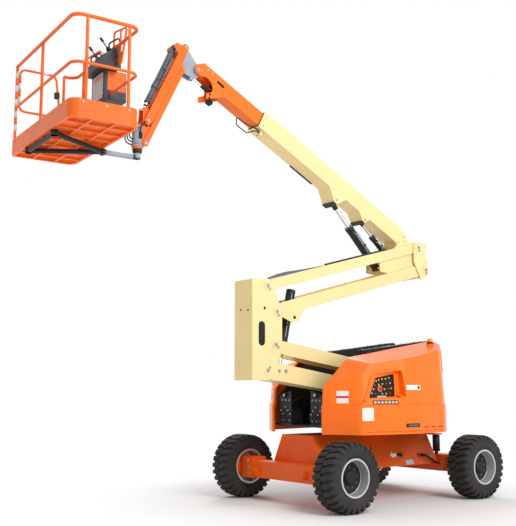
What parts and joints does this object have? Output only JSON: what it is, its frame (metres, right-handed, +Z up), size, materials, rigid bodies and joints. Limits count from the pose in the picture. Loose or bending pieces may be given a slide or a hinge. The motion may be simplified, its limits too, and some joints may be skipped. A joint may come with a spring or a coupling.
{
  "type": "articulating boom lift",
  "caption": "Self-propelled articulating boom lift with a folding tower, telescopic main boom, jib and railed work platform.",
  "frame": {"origin": "on the ground under the middle of the bounding box, with the machine standing on its wheels", "axes": "+X along the chassis to the steering axle, +Y to its left side, +Z up"},
  "size_m": [6.2763, 2.34, 5.5527],
  "materials": {
    "tyre": "matte",
    "silver": "satin",
    "orange": "gloss",
    "black": "satin",
    "grey": "satin",
    "chrome": "polished",
    "rubber": "matte",
    "hood": "gloss",
    "plastic": "matte",
    "amber": "gloss",
    "cream": "gloss"
  },
  "bodies": {
    "chassis": {"chassis_frame": "orange", "rear_axle": "black", "front_axle": "black", "steer_cylinder": "grey", "lockout_cylinders": "black", "wheel_hose": "rubber"},
    "steer_rod": {"steer_rod": "chrome"},
    "knuckle_left": {"knuckle_left": "black"},
    "knuckle_right": {"knuckle_right": "black"},
    "wheel_rear_right": {"tyre_rear_right": "tyre", "rim_rear_right": "silver"},
    "wheel_rear_left": {"tyre_rear_left": "tyre", "rim_rear_left": "silver"},
    "wheel_front_right": {"tyre_front_right": "tyre", "rim_front_right": "silver"},
    "wheel_front_left": {"tyre_front_left": "tyre", "rim_front_left": "silver"},
    "turntable": {"turntable_base": "black", "tower_cheeks": "orange", "counterweight": "orange", "engine_block": "black", "fuel_tank": "black", "control_panel": "plastic", "compartment_cover": "black"},
    "hood_right": {"hood_right": "hood", "beacon": "amber"},
    "hood_left": {"hood_left": "hood"},
    "lower_link_1": {"lower_link_1": "cream"},
    "lower_link_2": {"lower_link_2": "cream"},
    "upright": {"upright": "cream"},
    "upper_link_1": {"upper_link_1": "cream"},
    "upper_link_2": {"upper_link_2": "cream"},
    "riser": {"riser": "cream"},
    "tower_barrel": {"tower_barrel": "grey"},
    "tower_rod": {"tower_rod": "chrome"},
    "main_boom": {"main_boom": "cream", "tip_hose": "rubber"},
    "lift_barrel": {"lift_barrel": "grey"},
    "lift_rod": {"lift_rod": "chrome"},
    "master_barrel": {"master_barrel": "grey"},
    "master_rod": {"master_rod": "chrome"},
    "fly_boom": {"fly_boom": "orange"},
    "slave_barrel": {"slave_barrel": "grey"},
    "slave_rod": {"slave_rod": "chrome"},
    "jib_knuckle": {"jib_knuckle": "grey"},
    "jib_arm": {"jib_arm": "orange"},
    "jib_link": {"jib_link": "orange"},
    "jib_end": {"jib_end": "orange"},
    "jib_barrel": {"jib_barrel": "grey"},
    "jib_rod": {"jib_rod": "chrome"},
    "platform": {"platform_arm": "grey", "platform_floor": "orange", "toe_boards": "orange", "rail_posts": "orange", "top_rail": "orange", "mid_rail": "orange", "console_guards": "orange", "console": "grey"},
    "gate": {"gate": "orange"}
  },
  "joints": [
    {"name": "swing", "type": "hinge", "parent": "chassis", "child": "turntable", "pos_m": [1.55825, 0, 0.945], "axis": [0, 0, 1], "range_deg": [-177.5, 177.5]},
    {"name": "steer_left", "type": "hinge", "parent": "chassis", "child": "knuckle_left", "pos_m": [2.72825, 0.73, 0.41], "axis": [0, 0, 1], "range_deg": [-34, 34]},
    {"name": "steer_right", "type": "hinge", "parent": "chassis", "child": "knuckle_right", "pos_m": [2.72825, -0.73, 0.41], "axis": [0, 0, 1], "range_deg": [-34, 34]},
    {"name": "steer_slide", "type": "slide", "parent": "chassis", "child": "steer_rod", "axis": [0, 1, 0], "range_m": [-0.121, 0.121]},
    {"name": "wheel_rear_right", "type": "hinge", "parent": "chassis", "child": "wheel_rear_right", "pos_m": [0.38825, -1.005, 0.41], "axis": [0, 1, 0], "continuous": true},
    {"name": "wheel_rear_left", "type": "hinge", "parent": "chassis", "child": "wheel_rear_left", "pos_m": [0.38825, 1.005, 0.41], "axis": [0, 1, 0], "continuous": true},
    {"name": "wheel_front_right", "type": "hinge", "parent": "knuckle_right", "child": "wheel_front_right", "pos_m": [2.72825, -1.005, 0.41], "axis": [0, 1, 0], "continuous": true},
    {"name": "wheel_front_left", "type": "hinge", "parent": "knuckle_left", "child": "wheel_front_left", "pos_m": [2.72825, 1.005, 0.41], "axis": [0, 1, 0], "continuous": true},
    {"name": "hood_right_hinge", "type": "hinge", "parent": "turntable", "child": "hood_right", "pos_m": [1.84825, -0.462, 1.9309], "axis": [-0.9865, 0, -0.1636], "range_deg": [0, 70]},
    {"name": "hood_left_hinge", "type": "hinge", "parent": "turntable", "child": "hood_left", "pos_m": [1.84825, 0.462, 1.9309], "axis": [0.9865, 0, 0.1636], "range_deg": [0, 70]},
    {"name": "tower_raise", "type": "hinge", "parent": "turntable", "child": "lower_link_1", "pos_m": [2.64825, 0, 1.567], "axis": [0, 1, 0], "range_deg": [-13, 50]},
    {"name": "lower_link_2_hinge", "type": "hinge", "parent": "turntable", "child": "lower_link_2", "pos_m": [2.52225, 0, 1.247], "axis": [0, 1, 0], "range_deg": [-13, 50]},
    {"name": "upright_hinge", "type": "hinge", "parent": "lower_link_1", "child": "upright", "pos_m": [0.00135, 0, 1.96731], "axis": [0, 1, 0], "range_deg": [-50, 13]},
    {"name": "upper_link_1_hinge", "type": "hinge", "parent": "upright", "child": "upper_link_1", "pos_m": [-0.12275, 0, 2.68901], "axis": [0, -1, 0], "range_deg": [-13, 50]},
    {"name": "upper_link_2_hinge", "type": "hinge", "parent": "upright", "child": "upper_link_2", "pos_m": [0.02425, 0, 2.37401], "axis": [0, -1, 0], "range_deg": [-13, 50]},
    {"name": "riser_hinge", "type": "hinge", "parent": "upper_link_1", "child": "riser", "pos_m": [2.64426, 0, 3.44338], "axis": [0, 1, 0], "range_deg": [-13, 50]},
    {"name": "tower_barrel_hinge", "type": "hinge", "parent": "upper_link_2", "child": "tower_barrel", "pos_m": [0.32725, 0, 2.31901], "axis": [0, 1, 0], "range_deg": [-12.5, 47.5]},
    {"name": "tower_rod_slide", "type": "slide", "parent": "tower_barrel", "child": "tower_rod", "axis": [-0.2089, 0, -0.9779], "range_m": [-0.131, 0.501]},
    {"name": "boom_raise", "type": "hinge", "parent": "riser", "child": "main_boom", "pos_m": [2.39426, 0, 3.41638], "axis": [0, 1, 0], "range_deg": [-24, 46]},
    {"name": "lift_barrel_hinge", "type": "hinge", "parent": "riser", "child": "lift_barrel", "pos_m": [1.96626, 0, 3.10138], "axis": [0, 1, 0], "range_deg": [-24, 46]},
    {"name": "lift_rod_slide", "type": "slide", "parent": "lift_barrel", "child": "lift_rod", "axis": [-0.7057, 0, 0.7085], "range_m": [-0.212, 0.405]},
    {"name": "master_barrel_hinge", "type": "hinge", "parent": "riser", "child": "master_barrel", "pos_m": [2.21426, 0, 3.26638], "axis": [0, 1, 0], "range_deg": [-24, 46]},
    {"name": "master_rod_slide", "type": "slide", "parent": "master_barrel", "child": "master_rod", "axis": [-0.7663, 0, 0.6424], "range_m": [-0.094, 0.178]},
    {"name": "fly_slide", "type": "slide", "parent": "main_boom", "child": "fly_boom", "axis": [-0.8938, 0, 0.4484], "range_m": [-0.55, 1.6]},
    {"name": "jib_knuckle_hinge", "type": "hinge", "parent": "fly_boom", "child": "jib_knuckle", "pos_m": [-1.12513, 0, 5.26798], "axis": [0, 1, 0], "range_deg": [-46, 24]},
    {"name": "slave_barrel_hinge", "type": "hinge", "parent": "fly_boom", "child": "slave_barrel", "pos_m": [-0.82895, 0, 5.01983], "axis": [0, 1, 0], "range_deg": [-1.6, 3]},
    {"name": "slave_rod_slide", "type": "slide", "parent": "slave_barrel", "child": "slave_rod", "axis": [-0.8764, 0, 0.4816], "range_m": [-0.054, 0.029]},
    {"name": "jib_raise", "type": "hinge", "parent": "jib_knuckle", "child": "jib_arm", "pos_m": [-1.31013, 0, 5.50798], "axis": [0, 1, 0], "range_deg": [-6, 139]},
    {"name": "jib_link_hinge", "type": "hinge", "parent": "jib_knuckle", "child": "jib_link", "pos_m": [-1.32513, 0, 5.24598], "axis": [0, 1, 0], "range_deg": [-6, 139]},
    {"name": "jib_end_hinge", "type": "hinge", "parent": "jib_arm", "child": "jib_end", "pos_m": [-1.80505, 0, 4.49324], "axis": [0, 1, 0], "range_deg": [-139, 6]},
    {"name": "jib_barrel_hinge", "type": "hinge", "parent": "jib_arm", "child": "jib_barrel", "pos_m": [-1.42193, 0, 5.50687], "axis": [0, 1, 0], "range_deg": [-0.5, 2]},
    {"name": "jib_rod_slide", "type": "slide", "parent": "jib_barrel", "child": "jib_rod", "axis": [-0.4203, 0, -0.9074], "range_m": [-0.014, 0.313]},
    {"name": "platform_rotate", "type": "hinge", "parent": "jib_end", "child": "platform", "pos_m": [-1.89005, 0, 4.30324], "axis": [0, 0, 1], "range_deg": [-86, 94]},
    {"name": "gate_hinge", "type": "hinge", "parent": "platform", "child": "gate", "pos_m": [-2.96147, 0.90728, 4.691], "axis": [0, 0, -1], "range_deg": [0, 80]}
  ],
  "couplings": [
    {"joint": "steer_right", "follows": "steer_left", "ratio": 1},
    {"joint": "steer_slide", "follows": "steer_left", "m_per_rad": 0.203},
    {"joint": "lower_link_2_hinge", "follows": "tower_raise", "ratio": 1},
    {"joint": "upright_hinge", "follows": "tower_raise", "ratio": -1},
    {"joint": "upper_link_1_hinge", "follows": "tower_raise", "ratio": 1},
    {"joint": "upper_link_2_hinge", "follows": "tower_raise", "ratio": 1},
    {"joint": "riser_hinge", "follows": "tower_raise", "ratio": 1},
    {"joint": "tower_barrel_hinge", "follows": "tower_raise", "ratio": 0.94},
    {"joint": "tower_rod_slide", "follows": "tower_raise", "m_per_rad": 0.573},
    {"joint": "lift_barrel_hinge", "follows": "boom_raise", "ratio": 0.985},
    {"joint": "lift_rod_slide", "follows": "boom_raise", "m_per_rad": 0.502},
    {"joint": "master_barrel_hinge", "follows": "boom_raise", "ratio": 0.996},
    {"joint": "master_rod_slide", "follows": "boom_raise", "m_per_rad": 0.22},
    {"joint": "jib_knuckle_hinge", "follows": "boom_raise", "ratio": -1},
    {"joint": "slave_barrel_hinge", "follows": "boom_raise", "ratio": 0.063},
    {"joint": "slave_rod_slide", "follows": "boom_raise", "m_per_rad": -0.0657},
    {"joint": "jib_link_hinge", "follows": "jib_raise", "ratio": 1},
    {"joint": "jib_end_hinge", "follows": "jib_raise", "ratio": -1},
    {"joint": "jib_barrel_hinge", "follows": "jib_raise", "ratio": 0.011},
    {"joint": "jib_rod_slide", "follows": "jib_raise", "m_per_rad": 0.1286}
  ]
}
